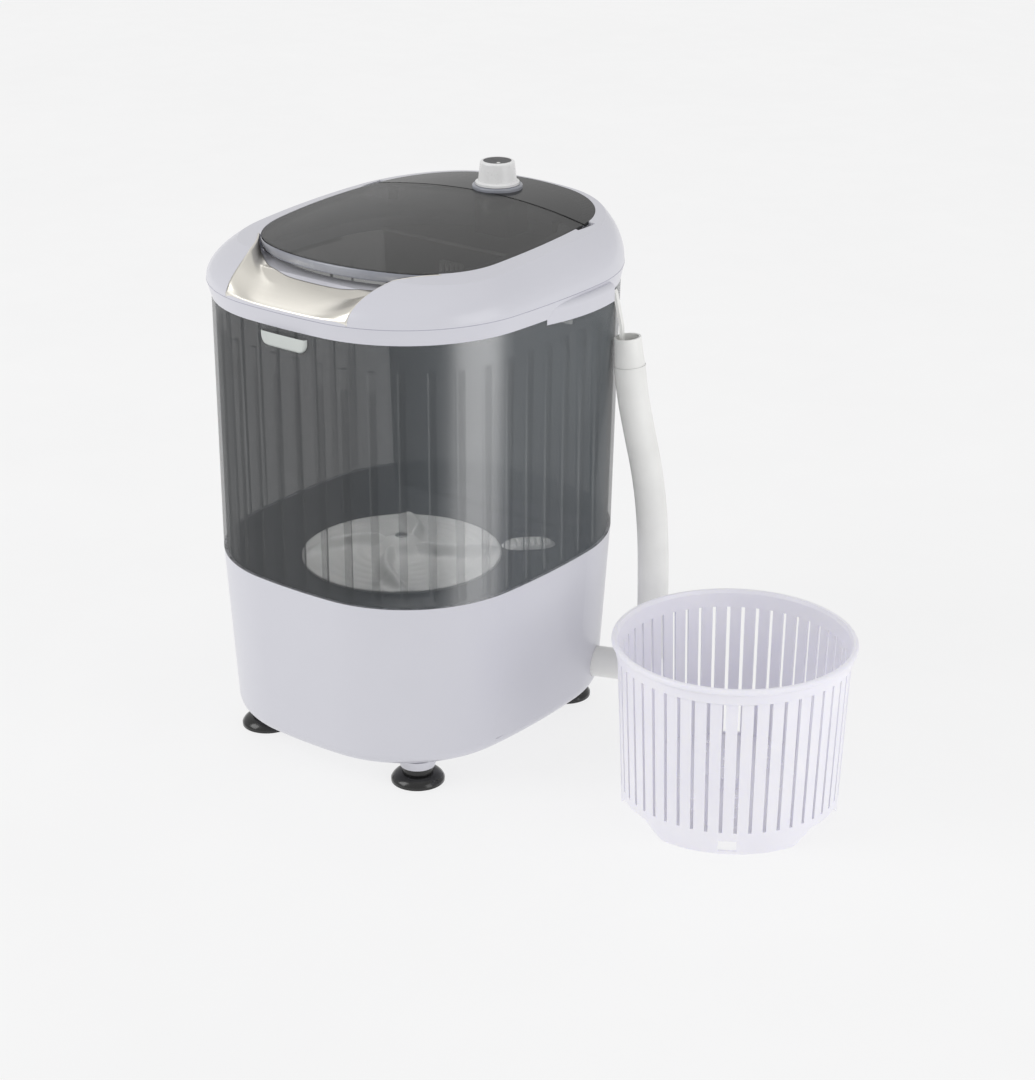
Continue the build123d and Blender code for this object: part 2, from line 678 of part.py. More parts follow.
cap_radius, cap_depth = 13.5, 1.6
with BuildPart() as knob:
    with BuildSketch(Plane((0, knob_y, 0), x_dir=(1, 0, 0), z_dir=(0, -1, 0))):
        top = knob_base + knob_height
        with BuildLine():
            Polyline((timer_shaft_radius, knob_base), (21, knob_base), (21, knob_base + 2),
                     (18.4, knob_base + 3.2), (16.6, top - 2.5))
            ThreePointArc((16.6, top - 2.5), (15.9, top - 0.7), (14.2, top))
            Polyline((14.2, top), (cap_radius, top), (cap_radius, top - cap_depth), (0, top - cap_depth),
                     (0, shaft_top), (timer_shaft_radius, shaft_top), (timer_shaft_radius, knob_base))
        make_face()
    revolve(axis=Axis((0, knob_y, 0), (0, 0, 1)))
save(knob.part, "knob")
save(ring(0, knob_y, knob_base + knob_height - cap_depth, cap_depth - 0.3, cap_radius), "knob_cap")


# ---- drive: pulsator on a belt-driven shaft in two bearings ----
def pulley(x, y, groove, holes):
    rim = groove + groove_depth
    low, high = pulley_z, pulley_z + pulley_width
    with BuildPart() as wheel:
        with BuildSketch(Plane((x, y, 0), x_dir=(1, 0, 0), z_dir=(0, -1, 0))):
            with BuildLine():
                Polyline((shaft_radius, low), (rim, low), (rim, low + 1.5), (groove, low + 3.5),
                         (groove, high - 3.5), (rim, high - 1.5), (rim, high), (shaft_radius, high),
                         (shaft_radius, low))
            make_face()
        revolve(axis=Axis((x, y, 0), (0, 0, 1)))
        if holes:
            with BuildSketch(Plane((x, y, low - 1))):
                with PolarLocations(groove * 0.6, holes):
                    Circle(groove * 0.17)
            extrude(amount=pulley_width + 2, mode=Mode.SUBTRACT)
    return wheel.part


save(pulley(0, drive_y, drive_groove, 6), "drive_pulley")
save(pulley(0, motor_y, motor_groove, 0), "motor_pulley")

shaft_bottom, shaft_end = 58.0, 181.0
with BuildPart() as drive_shaft:
    with BuildSketch(Plane((0, drive_y, shaft_bottom))):
        Circle(shaft_radius)
    extrude(amount=shaft_end - shaft_bottom)
    with BuildSketch(Plane((0, drive_y, shaft_end - 14))):
        Circle(2.5)
    extrude(amount=14, mode=Mode.SUBTRACT)
save(drive_shaft.part, "drive_shaft")

with BuildPart() as pulley_nut:
    with BuildSketch(Plane((0, drive_y, pulley_z - 6))):
        RegularPolygon(7.5, 6)
        Circle(shaft_radius, mode=Mode.SUBTRACT)
    extrude(amount=6)
save(pulley_nut.part, "pulley_nut")

belt_width, belt_thickness = 2.2, 4.0
with BuildPart() as drive_belt:
    for grow, mode in ((belt_clearance + belt_thickness, Mode.ADD), (belt_clearance, Mode.SUBTRACT)):
        with BuildSketch(Plane.XY.offset(pulley_z + (pulley_width - belt_width) / 2)):
            with Locations((0, drive_y)):
                Circle(drive_groove + grow)
            with Locations((0, motor_y)):
                Circle(motor_groove + grow)
            make_hull(mode=Mode.REPLACE)
        extrude(amount=belt_width, mode=mode)
save(drive_belt.part, "drive_belt")

housing_bore = 11.0
with BuildPart() as bearing_housing:
    with BuildSketch(Plane((0, drive_y, 0), x_dir=(1, 0, 0), z_dir=(0, -1, 0))):
        with BuildLine():
            Polyline((housing_bore, 118), (18, 118), (20, 155), (36, 160), (36, tub_floor_bottom),
                     (15.8, tub_floor_bottom), (15.8, 169), (housing_bore, 169), (housing_bore, 118))
        make_face()
    revolve(axis=Axis((0, drive_y, 0), (0, 0, 1)))
save(bearing_housing.part, "bearing_housing")

bearing_bore = shaft_radius + bearing_clearance
save(ring(0, drive_y, 150, 7, housing_bore, bearing_bore), "bearing_upper")
save(ring(0, drive_y, 122, 7, housing_bore, bearing_bore), "bearing_lower")
save(ring(0, drive_y, 162, 6.5, housing_bore, bearing_bore), "shaft_seal")

fin_count, fin_length, fin_width, fin_height = 4, 70.0, 8.0, 11.0
hole_radius, hole_rows = 2.2, ((40.0, 8), (62.0, 12), (80.0, 16))     # (ring radius, holes in it)
with BuildPart() as pulsator:
    with BuildSketch(Plane((0, drive_y, 0), x_dir=(1, 0, 0), z_dir=(0, -1, 0))):
        low = pulsator_bottom
        with BuildLine():
            Polyline((shaft_radius, low), (pulsator_radius, low), (pulsator_radius, low + 3.5),
                     (pulsator_radius - 5, low + 6), (34, low + 6), (24, low + 9), (17, low + 18),
                     (2.5, low + 18), (2.5, shaft_end), (shaft_radius, shaft_end), (shaft_radius, low))
        make_face()
    revolve(axis=Axis((0, drive_y, 0), (0, 0, 1)))
    with BuildSketch(Plane((0, drive_y, low + 5))):
        with PolarLocations(50, fin_count, start_angle=30):
            SlotOverall(fin_length, fin_width)
    extrude(amount=fin_height)
    with BuildSketch(Plane((0, drive_y, low - 1))):
        for radius, count in hole_rows:
            with PolarLocations(radius, count, start_angle=9):
                Circle(hole_radius)
    extrude(amount=20, mode=Mode.SUBTRACT)
save(pulsator.part, "pulsator")

screw_seat = pulsator_bottom + 18
with BuildPart() as pulsator_screw:
    with BuildSketch(Plane((0, drive_y, screw_seat))):
        Circle(6)
    extrude(amount=3)
    fillet(pulsator_screw.faces().sort_by(Axis.Z)[-1].edges(), radius=1.4)
    with BuildSketch(Plane((0, drive_y, shaft_end - 13))):
        Circle(2.5)
    extrude(amount=screw_seat - shaft_end + 13)
save(pulsator_screw.part, "pulsator_screw")

# ---- motor behind the shaft: can, stator, bracket, rotor, fan ----
can_wall, stator_inner, stator_outer = 3.0, 25.0, 35.0
stator_bottom, stator_height = 98.0, 40.0
bracket_size, bracket_thickness = (104.0, 64.0, 10.0), 3.0
with BuildPart() as motor_housing:
    with BuildSketch(Plane((0, motor_y, motor_bottom))):
        Circle(motor_radius)
    extrude(amount=motor_top - motor_bottom)
    fillet(motor_housing.faces().sort_by(Axis.Z)[0].edges(), radius=4)
    with BuildSketch(Plane((0, motor_y, motor_bottom + can_wall))):
        Circle(stator_outer)
    extrude(amount=motor_top - motor_bottom - 2 * can_wall, mode=Mode.SUBTRACT)
    with BuildSketch(Plane((0, motor_y, motor_bottom - 1))):
        Circle(shaft_radius + bearing_clearance)
    extrude(amount=motor_top - motor_bottom + 2, mode=Mode.SUBTRACT)
save(motor_housing.part, "motor_housing")
rotor_bottom, rotor_height = stator_bottom - 1, stator_height + 2
save(ring(0, motor_y, stator_bottom, stator_height, stator_outer, stator_inner), "motor_stator")
save(ring(0, motor_y, rotor_bottom, rotor_height, stator_inner - 1, shaft_radius), "motor_rotor")
save(ring(0, motor_y, 60, motor_top - 61, shaft_radius), "motor_shaft")

with BuildPart() as motor_fan:
    with BuildSketch(Plane((0, motor_y, 141))):
        Circle(8)
        with PolarLocations(16, 9):
            Rectangle(20, 1.8, rotation=20)
        Circle(shaft_radius, mode=Mode.SUBTRACT)
    extrude(amount=4.5)
save(motor_fan.part, "motor_fan")

with BuildPart() as motor_bracket:
    with BuildSketch(Plane((0, motor_y, motor_top))):
        RectangleRounded(*bracket_size)
        Circle(shaft_radius + 6, mode=Mode.SUBTRACT)
    extrude(amount=bracket_thickness)
    with BuildSketch(Plane((0, motor_y, motor_top + bracket_thickness))):
        with GridLocations(84, 46, 2, 2):
            Circle(6)
    extrude(amount=tub_floor_bottom - motor_top - bracket_thickness)
save(motor_bracket.part, "motor_bracket")

capacitor_x, capacitor_y = -62.0, 50.0
capacitor_radius, capacitor_height = 15.0, 58.0
strap_height, strap_band = 46.0, 12.0
with BuildPart() as capacitor:
    with BuildSketch(Plane((capacitor_x, capacitor_y, plate_top))):
        Circle(capacitor_radius)
    extrude(amount=capacitor_height)
    fillet(capacitor.faces().sort_by(Axis.Z)[-1].edges(), radius=3)
save(capacitor.part, "capacitor")
with BuildPart() as capacitor_strap:
    with BuildSketch(Plane((capacitor_x, capacitor_y, plate_top))):
        with Locations((0, -17)):
            Rectangle(12, 4)
    extrude(amount=strap_height)
    with BuildSketch(Plane((capacitor_x, capacitor_y, plate_top + strap_height - strap_band))):
        Circle(capacitor_radius + 2)
    extrude(amount=strap_band)
    with BuildSketch(Plane((capacitor_x, capacitor_y, plate_top - 1))):
        Circle(capacitor_radius)
    extrude(amount=capacitor_height + 2, mode=Mode.SUBTRACT)
save(capacitor_strap.part, "capacitor_strap")

# ---- drain: strainer, inner pipe, elbow through the base wall ----
strainer_heading = 45.0
strainer_along = Vector(1, 0, 0).rotate(Axis.Z, strainer_heading)
with BuildPart() as drain_strainer:
    with BuildSketch(Plane((drain_x, drain_y, tub_floor_top))):
        SlotOverall(52, 26, rotation=strainer_heading)
    extrude(amount=3.5)
    fillet(drain_strainer.faces().sort_by(Axis.Z)[-1].edges(), radius=1.5)
    with BuildSketch(Plane((drain_x, drain_y, tub_floor_top - 1), x_dir=strainer_along, z_dir=(0, 0, 1))):
        with GridLocations(5.2, 1, 8, 1):
            SlotOverall(15, 2.4, rotation=90)
    extrude(amount=8, mode=Mode.SUBTRACT)
save(drain_strainer.part, "drain_strainer")

pipe_radius, pipe_bore = 14.0, 12.0
pipe_joint = on_hose_plane(-20, outlet_z)
pipe_route = [(drain_x, drain_y, tub_floor_bottom), (drain_x, drain_y, outlet_z), pipe_joint]
elbow_route = [pipe_joint, on_hose_plane(elbow_reach, outlet_z), on_hose_plane(elbow_reach, elbow_top)]
save(tube(pipe_route, 30, pipe_radius, pipe_bore), "drain_pipe")
save(tube(elbow_route, 32, elbow_radius, hose_bore), "drain_elbow")

# ---- drain hose, standing free beside the tub and hooked to the rim ----
hose_route = [on_hose_plane(reach, height) for reach, height in (
    (45, 105), (45, 146), (43.5, 200), (38, 252), (27, 302), (20, 338), (17.8, 361))]


def route_radii(points):
    """Bend radius at each inner point: 0.45 of the shorter run over the tangent of half the turn."""
    vectors = [Vector(*b) - Vector(*a) for a, b in zip(points, points[1:])]
    radii = []
    for before, after in zip(vectors, vectors[1:]):
        turn = radians(before.get_angle(after))
        radii.append(0.45 * min(before.length, after.length) / tan(turn / 2))
    return radii


hose_radii = route_radii(hose_route)
print("hose bend radii", [round(radius) for radius in hose_radii])
hose = tube(hose_route, hose_radii, hose_radius, hose_bore)
save(hose, "drain_hose")

cuff_foot, cuff_mouth = Vector(*hose_route[-1]), Vector(*on_hose_plane(15.8, 388))
cuff_axis = (Vector(*hose_route[-1]) - Vector(*hose_route[-2])).normalized()
cuff_length = (cuff_mouth - cuff_foot).length
with BuildPart() as hose_cuff:
    for reach, radius in ((0, 14.3), (cuff_length, 12.6)):
        with BuildSketch(Plane(origin=cuff_foot + cuff_axis * reach, z_dir=cuff_axis)):
            Circle(radius)
    loft()
    with BuildSketch(Plane(origin=cuff_foot - cuff_axis, z_dir=cuff_axis)):
        Circle(10.6)
    extrude(amount=cuff_length + 2, mode=Mode.SUBTRACT)
save(hose_cuff.part, "hose_cuff")

with BuildPart() as hose_hook:
    with BuildSketch(Plane((hose_x, hose_y, 0), x_dir=hose_dir, z_dir=hose_dir.cross(Vector(0, 0, 1)))):
        with BuildLine() as strap:
            FilletPolyline((-4, 437), (3, 430), (9.5, 398), (10.5, 374), radius=6)
        trace(strap.edges(), line_width=2.6)
    extrude(amount=4, both=True)
    add(rim_outer, mode=Mode.SUBTRACT)
    add(tub_outer, mode=Mode.SUBTRACT)
save(hose_hook.part, "hose_hook")

# ---- spin basket: slotted wall under a rolled rim, on three arched feet ----
floor_bottom, floor_top = 16.4, 19.0
arch_height, arch_foot, arch_crest = 13.0, 40.0, 20.5     # height and half widths of the arches
basket_axis = Axis((basket_x, basket_y, 0), (0, 0, 1))
foot_inner = basket_foot_radius - basket_wall
floor_hole_radius = 2.6
floor_holes = ((28.0, 8), (46.0, 14), (64.0, 20), (82.0, 26))        # (ring radius, holes in it)
with BuildPart() as spin_basket:
    with BuildSketch(Plane((basket_x, basket_y, 0), x_dir=(1, 0, 0), z_dir=(0, -1, 0))):
        with BuildLine():
            Polyline((basket_foot_radius, 0), (basket_top_radius, basket_band_z), (106, basket_band_z + 1),
                     (106.6, 158.5), (basket_rim - 1, 160))
            ThreePointArc((basket_rim - 1, 160), (basket_rim, 162), (basket_rim - 2, basket_height))
            Polyline((basket_rim - 2, basket_height), (105.5, basket_height), (103.6, 162),
                     (basket_top_radius - basket_wall, basket_band_z),
                     (foot_inner + 0.7, floor_top), (0, floor_top), (0, floor_bottom),
                     (foot_inner + 0.6, floor_bottom), (foot_inner, 0), (basket_foot_radius, 0))
        make_face()
    revolve(axis=basket_axis)
    with BuildSketch(Plane((basket_x, basket_y, floor_top))):
        Circle(14)
    extrude(amount=9, taper=12)
    with BuildSketch(Plane((basket_x, basket_y, basket_slot_foot))):
        with PolarLocations(100, basket_slots, start_angle=basket_turn + 180 / basket_slots):
            Rectangle(20, slot_width)
    extrude(amount=basket_band_z - basket_slot_foot, mode=Mode.SUBTRACT)
    for heading in (60, 180, 300):
        outward = Vector(1, 0, 0).rotate(Axis.Z, basket_turn + heading)
        with BuildSketch(Plane((basket_x, basket_y, 0), x_dir=outward.rotate(Axis.Z, 90), z_dir=outward)):
            with BuildLine():
                Polyline((arch_foot, -1), (arch_foot, 0), (arch_crest, arch_height),
                         (-arch_crest, arch_height), (-arch_foot, 0), (-arch_foot, -1), close=True)
            make_face()
            fillet(vertices().group_by(Axis.Y)[-1], radius=6)
        extrude(amount=120, mode=Mode.SUBTRACT)
    with BuildSketch(Plane((basket_x, basket_y, 3))):
        with PolarLocations(100, 1, start_angle=basket_turn):
            Rectangle(20, 16)
    extrude(amount=10, mode=Mode.SUBTRACT)
    with BuildSketch(Plane((basket_x, basket_y, floor_bottom - 1))):
        for radius, count in floor_holes:
            with PolarLocations(radius, count):
                Circle(floor_hole_radius)
    extrude(amount=5, mode=Mode.SUBTRACT)
save(spin_basket.part, "spin_basket")
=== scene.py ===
"""Portable mini washer with its spin basket: the looks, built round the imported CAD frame.

Metres, +Z up, front -Y, the drain hose on the +X side. Added pieces take their places from the CAD
nodes' surfaces and boxes, or repeat the places that the CAD has.
"""
import bpy
import bmesh
import json
from math import copysign, cos, exp, hypot, pi, radians, sin, sqrt
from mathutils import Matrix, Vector
from mathutils.bvhtree import BVHTree


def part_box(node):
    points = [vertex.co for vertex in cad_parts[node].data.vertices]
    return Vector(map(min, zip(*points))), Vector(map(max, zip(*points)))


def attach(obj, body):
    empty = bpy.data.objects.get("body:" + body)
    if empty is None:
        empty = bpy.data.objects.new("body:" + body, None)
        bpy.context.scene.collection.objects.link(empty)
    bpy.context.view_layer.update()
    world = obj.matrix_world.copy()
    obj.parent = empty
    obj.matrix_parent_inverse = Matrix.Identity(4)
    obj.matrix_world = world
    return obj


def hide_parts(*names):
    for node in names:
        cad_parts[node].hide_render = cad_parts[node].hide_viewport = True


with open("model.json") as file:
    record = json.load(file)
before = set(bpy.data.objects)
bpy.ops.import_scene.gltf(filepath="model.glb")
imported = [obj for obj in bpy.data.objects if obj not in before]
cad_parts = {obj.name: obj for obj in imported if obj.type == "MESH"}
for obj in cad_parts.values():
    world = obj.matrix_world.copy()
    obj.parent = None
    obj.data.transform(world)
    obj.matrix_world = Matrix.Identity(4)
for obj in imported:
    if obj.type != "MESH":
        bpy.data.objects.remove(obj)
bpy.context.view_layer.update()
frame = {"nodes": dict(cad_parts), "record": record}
scene = bpy.context.scene
scene.view_settings.view_transform = "Standard"

FULL_TURN = 2 * pi

# ---------------------------------------------------------------- camera
CAMERA_PLACE = (1.42386, -1.68256, 1.09461)
CAMERA_AZIMUTH, CAMERA_ELEVATION = 0.660, 0.395     # radians
CAMERA_LENS = 82.65                                 # millimetres, on a 36 mm long side
CAMERA_RANGE = 120                                  # further than the floor reaches

camera_data = bpy.data.cameras.new("camera")
camera_data.lens = CAMERA_LENS
camera_data.clip_end = CAMERA_RANGE
camera = bpy.data.objects.new("camera", camera_data)
camera.location = CAMERA_PLACE
camera.rotation_euler = (pi / 2 - CAMERA_ELEVATION, 0, CAMERA_AZIMUTH)
scene.collection.objects.link(camera)
scene.camera = camera

# ---------------------------------------------------------------- materials
NOISE_RANGE = (0.3, 0.7)                # the noise values that a roughness range is spread over
TONE_RANGE = (0.35, 0.65)               # the noise values over which the dark tone turns to the light one
PATCH_DETAIL, GRAIN_DETAIL, GLOSS_DETAIL = 3.0, 2.0, 4.0
GLOSS_SCALE = 5                         # the gloss varies this many times finer than the colour
GRAIN_DEPTH = 0.0002
STREAK_UPRIGHT = 0.25                   # turns of the anisotropy, so that highlights stand upright
COAT_ROUGHNESS = 0.06
SCATTER_REACH = (0.004, 0.004, 0.005)   # red, green and blue, where a plastic lets light in


def new_material(name):
    material = bpy.data.materials.new(name)
    material.use_nodes = True
    tree = material.node_tree
    return material, tree, tree.nodes["Principled BSDF"]


def noise(tree, scale, detail, stretch):
    """Noise in the object's own coordinates."""
    coords = tree.nodes.new("ShaderNodeTexCoord")
    mapping = tree.nodes.new("ShaderNodeMapping")
    mapping.inputs["Scale"].default_value = stretch
    texture = tree.nodes.new("ShaderNodeTexNoise")
    texture.inputs["Scale"].default_value = scale
    texture.inputs["Detail"].default_value = detail
    tree.links.new(coords.outputs["Object"], mapping.inputs["Vector"])
    tree.links.new(mapping.outputs["Vector"], texture.inputs["Vector"])
    return texture.outputs["Fac"]


def spread(tree, value, low, high):
    """Maps a noise value onto low..high."""
    node = tree.nodes.new("ShaderNodeMapRange")
    node.inputs["From Min"].default_value = NOISE_RANGE[0]
    node.inputs["From Max"].default_value = NOISE_RANGE[1]
    node.inputs["To Min"].default_value = low
    node.inputs["To Max"].default_value = high
    tree.links.new(value, node.inputs["Value"])
    return node.outputs["Result"]


def two_tone(tree, value, dark, light):
    """Colour that runs from dark to light with a noise value."""
    ramp = tree.nodes.new("ShaderNodeValToRGB")
    ramp.color_ramp.elements[0].position = TONE_RANGE[0]
    ramp.color_ramp.elements[1].position = TONE_RANGE[1]
    ramp.color_ramp.elements[0].color = (*dark, 1)
    ramp.color_ramp.elements[1].color = (*light, 1)
    tree.links.new(value, ramp.inputs["Fac"])
    return ramp.outputs["Color"]


def bump(tree, value, strength, distance):
    node = tree.nodes.new("ShaderNodeBump")
    node.inputs["Strength"].default_value = strength
    node.inputs["Distance"].default_value = distance
    tree.links.new(value, node.inputs["Height"])
    return node.outputs["Normal"]


def plastic(name, dark, light, rough, grain, relief, patch, coat=0.0, alpha=1.0, metal=0.0,
            subsurface=0.0, stretch=(1, 1, 1), specular=0.5, streak=0.0):
    """Moulded plastic or coated metal: soft colour patches, uneven gloss and a fine surface grain.

    rough is the lowest and highest roughness, patch and grain are noise scales, and relief is the
    strength of the grain. streak draws the highlights out up and down the piece.
    """
    material, tree, shader = new_material(name)
    patches = noise(tree, patch, PATCH_DETAIL, stretch)
    fine = noise(tree, grain, GRAIN_DETAIL, stretch)
    tree.links.new(two_tone(tree, patches, dark, light), shader.inputs["Base Color"])
    gloss = noise(tree, patch * GLOSS_SCALE, GLOSS_DETAIL, stretch)
    tree.links.new(spread(tree, gloss, *rough), shader.inputs["Roughness"])
    tree.links.new(bump(tree, fine, relief, GRAIN_DEPTH), shader.inputs["Normal"])
    shader.inputs["Metallic"].default_value = metal
    shader.inputs["Specular IOR Level"].default_value = specular
    shader.inputs["Anisotropic"].default_value = streak
    shader.inputs["Anisotropic Rotation"].default_value = STREAK_UPRIGHT
    shader.inputs["Coat Weight"].default_value = coat
    shader.inputs["Coat Roughness"].default_value = COAT_ROUGHNESS
    shader.inputs["Alpha"].default_value = alpha
    shader.inputs["Subsurface Weight"].default_value = subsurface
    shader.inputs["Subsurface Radius"].default_value = SCATTER_REACH
    return material


WHITE = plastic("white_gloss", (0.635, 0.635, 0.690), (0.650, 0.650, 0.705),
                rough=(0.28, 0.33), grain=1200, relief=0.03, patch=9, coat=0.2)
BASKET = plastic("basket_white", (0.85, 0.84, 0.91), (0.88, 0.87, 0.93),
                 rough=(0.32, 0.42), grain=900, relief=0.04, patch=22, subsurface=0.3)
SMOKED = plastic("smoked_shell", (0.017, 0.020, 0.023), (0.020, 0.024, 0.027),
                 rough=(0.42, 0.46), grain=900, relief=0.015, patch=7,
                 alpha=0.50, coat=0.15, specular=0.8, streak=0.88)
RIB = plastic("smoked_rib", (0.016, 0.018, 0.020), (0.020, 0.023, 0.025),
              rough=(0.30, 0.36), grain=900, relief=0.015, patch=12, alpha=0.30)
LID = plastic("smoked_lid", (0.042, 0.042, 0.041), (0.048, 0.048, 0.047),
              rough=(0.18, 0.24), grain=900, relief=0.015, patch=8, alpha=0.66)
PANEL = plastic("smoked_panel", (0.018, 0.018, 0.018), (0.022, 0.022, 0.022),
                rough=(0.09, 0.13), grain=900, relief=0.010, patch=8, alpha=0.94, specular=0.3)
LID_EDGE = plastic("smoked_lid_edge", (0.26, 0.27, 0.31), (0.33, 0.34, 0.38),
                   rough=(0.20, 0.28), grain=900, relief=0.03, patch=20, coat=0.3)
TRIM = plastic("champagne_trim", (0.82, 0.79, 0.72), (0.88, 0.85, 0.78),
               rough=(0.32, 0.38), grain=2200, relief=0.06, patch=30, metal=1.0,
               stretch=(0.05, 1, 1))
KNOB = plastic("knob_white", (0.82, 0.82, 0.82), (0.86, 0.86, 0.86),
               rough=(0.26, 0.32), grain=1200, relief=0.03, patch=30, coat=0.2)
CLIP = plastic("clip_pale", (0.54, 0.57, 0.55), (0.59, 0.62, 0.60),
               rough=(0.3, 0.4), grain=900, relief=0.04, patch=25)
RUBBER = plastic("rubber_black", (0.006, 0.006, 0.006), (0.012, 0.012, 0.012),
                 rough=(0.16, 0.26), grain=700, relief=0.05, patch=40, coat=0.2)
HOSE = plastic("hose_grey_white", (0.82, 0.82, 0.80), (0.87, 0.87, 0.85),
               rough=(0.38, 0.48), grain=800, relief=0.08, patch=26)
PALE = plastic("pale_grey", (0.74, 0.74, 0.72), (0.82, 0.82, 0.80),
               rough=(0.3, 0.42), grain=900, relief=0.05, patch=20)
DARK = plastic("dark_grey", (0.030, 0.030, 0.032), (0.045, 0.045, 0.048),
               rough=(0.30, 0.42), grain=900, relief=0.06, patch=24)
# painted shadow: a dark lavender-grey for the thin shadow line under the top cover's lip, where it meets the
# rim
PAINTED_SEAM_SHADOW = plastic("seam_painted_shadow", (0.30, 0.30, 0.38), (0.38, 0.38, 0.46),
               rough=(0.5, 0.6), grain=900, relief=0.05, patch=30)
MARK = plastic("knob_mark_pale", (0.70, 0.70, 0.68), (0.80, 0.80, 0.78),
               rough=(0.3, 0.4), grain=1500, relief=0.04, patch=60)
STEEL = plastic("plated_steel", (0.42, 0.42, 0.43), (0.55, 0.55, 0.56),
                rough=(0.28, 0.42), grain=1500, relief=0.12, patch=40, metal=1.0)
CAST = plastic("cast_metal", (0.40, 0.40, 0.41), (0.52, 0.52, 0.53),
               rough=(0.45, 0.60), grain=500, relief=0.30, patch=50, metal=1.0)

SLOT_MATERIALS = {
    "white_shell": WHITE, "smoked_shell": SMOKED, "smoked_lid": LID, "trim_metal": TRIM,
    "clip_plastic": CLIP, "basket_plastic": BASKET, "black_rubber": RUBBER, "hose_plastic": HOSE,
    "pale_grey_plastic": PALE, "dark_plastic": DARK, "plain_steel": STEEL, "cast_housing": CAST,
}


def dress(obj, material):
    obj.data.materials.clear()
    obj.data.materials.append(material)


for row in frame["record"]["subparts"]:
    dress(frame["nodes"][row["node"]], SLOT_MATERIALS[row["material_slot"]])

dress(frame["nodes"]["knob"], KNOB)
dress(frame["nodes"]["knob_plinth"], LID_EDGE)
dress(frame["nodes"]["control_panel"], PANEL)

# ---------------------------------------------------------------- drain hose
HOSE_X, HOSE_Y, HOSE_HEADING = 0.152, 0.098, radians(20.4)     # the upright plane that it lies in
HOSE_ROUTE = ((0.045, 0.105), (0.045, 0.146), (0.0435, 0.200), (0.038, 0.252), (0.027, 0.302),
              (0.020, 0.338), (0.0178, 0.361))                 # reach along that plane, and height
HOSE_DIAMETER = 0.0295


def on_hose_plane(reach, height):
    return Vector((HOSE_X + cos(HOSE_HEADING) * reach, HOSE_Y + sin(HOSE_HEADING) * reach, height))


hose_curve = bpy.data.curves.new("hose_tube", "CURVE")
hose_curve.dimensions = "3D"
spline = hose_curve.splines.new("NURBS")
spline.points.add(len(HOSE_ROUTE) - 1)
for point, (reach, height) in zip(spline.points, HOSE_ROUTE):
    point.co = (*on_hose_plane(reach, height), 1)
spline.order_u = 3
spline.use_endpoint_u = True
spline.resolution_u = 16
hose_curve.bevel_depth = HOSE_DIAMETER / 2
hose_curve.bevel_resolution = 12
hose_curve.materials.append(HOSE)
hose = bpy.data.objects.new("hose_tube", hose_curve)
scene.collection.objects.link(hose)
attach(hose, "washer")
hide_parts("drain_hose")


# ---------------------------------------------------------------- helpers for the added pieces
def surface_tree(node):
    mesh = frame["nodes"][node].data
    return BVHTree.FromPolygons([v.co for v in mesh.vertices], [p.vertices for p in mesh.polygons])


def outer_point(tree, azimuth, height, reach=0.4):
    """Where a level ray from outside, at that azimuth about the centre line, first meets the surface."""
    out = Vector((cos(azimuth), sin(azimuth), 0))
    hit = tree.ray_cast(Vector((0, 0, height)) + out * reach, -out)
    return hit[0]


def height_below(tree, x, y, start=0.53):
    """Height of the surface under a point above the washer, or None where there is none."""
    hit = tree.ray_cast(Vector((x, y, start)), Vector((0, 0, -1)))
    return hit[0].z if hit[0] else None


def ring(centre, radius, count, height):
    """Circle of points about a centre in plan; height gives each one's height from its azimuth."""
    azimuths = [FULL_TURN * c / count for c in range(count)]
    return [(centre[0] + radius * cos(a), centre[1] + radius * sin(a), height(a)) for a in azimuths]


def grid_piece(name, rows, material, body, closed=False, thickness=0.0):
    """Smooth quad mesh through rows of points; closed joins each row's end to its start."""
    mesh = bpy.data.meshes.new(name)
    width = len(rows[0])
    verts = [tuple(point) for row in rows for point in row]
    faces = []
    for r in range(len(rows) - 1):
        for c in range(width if closed else width - 1):
            d = (c + 1) % width
            faces.append((r * width + c, r * width + d, (r + 1) * width + d, (r + 1) * width + c))
    mesh.from_pydata(verts, [], faces)
    mesh.polygons.foreach_set("use_smooth", [True] * len(mesh.polygons))
    piece = bpy.data.objects.new(name, mesh)
    scene.collection.objects.link(piece)
    piece.data.materials.append(material)
    if thickness:
        solidify = piece.modifiers.new("thickness", "SOLIDIFY")
        solidify.thickness = thickness
        solidify.offset = -1
    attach(piece, body)
    return piece


CROWN_Z, CROWN_Y = 0.4993, 0.103           # highest point of the top surface, on the centre line
CROWN_LONG, CROWN_ACROSS = 4.0, 1.68       # twice its radii, along Y and along X


def crown(x, y):
    """Height of the crowned top surface."""
    return CROWN_Z - (y - CROWN_Y) ** 2 / CROWN_LONG - x ** 2 / CROWN_ACROSS


# ---------------------------------------------------------------- metallic front trim
cover = surface_tree("top_cover")
rim = surface_tree("tub_rim")
SWOOSH_CENTRE, SWOOSH_RADIUS = (0.2132, -0.18916), 0.1426     # arc of the trim's side edge in plan
HORN_Y = -0.0935                           # rear end of the side edges
TRIM_TOP_Y = -0.140                        # rear edge at the middle
TRIM_FOOT_X = 0.071                        # where a side edge meets the seam
RIM_HEIGHT, RIM_REACH = 0.4488, 0.19       # height of the seam, and about how far out the rim is
SCOOP_Y, SCOOP_Z = -0.186, 0.4513          # foot of the scoop's profile, z = slope * run + curve * run ** 2
SCOOP_SLOPE, SCOOP_CURVE = 0.1571, 3.154
TRIM_PROUD, TRIM_EDGE_PROUD = 0.0012, 0.0003
EDGE_ASIDE = 0.0008                        # the cover's height is read this far outside the edge
COVER_GAP, EDGE_SHARE = 0.0005, 0.995      # least height over the cover, short of the very edge
BOW_IN_PLAN, BOW_IN_HEIGHT = 2.6, 4        # powers: the higher, the nearer the edge the sheet bends
TRIM_THICKNESS = 0.0012
FOLD_HEIGHTS, FOLD_BACK = {-2: 0.4496, -1: 0.4508}, 0.0003    # two rows that turn down over the seam
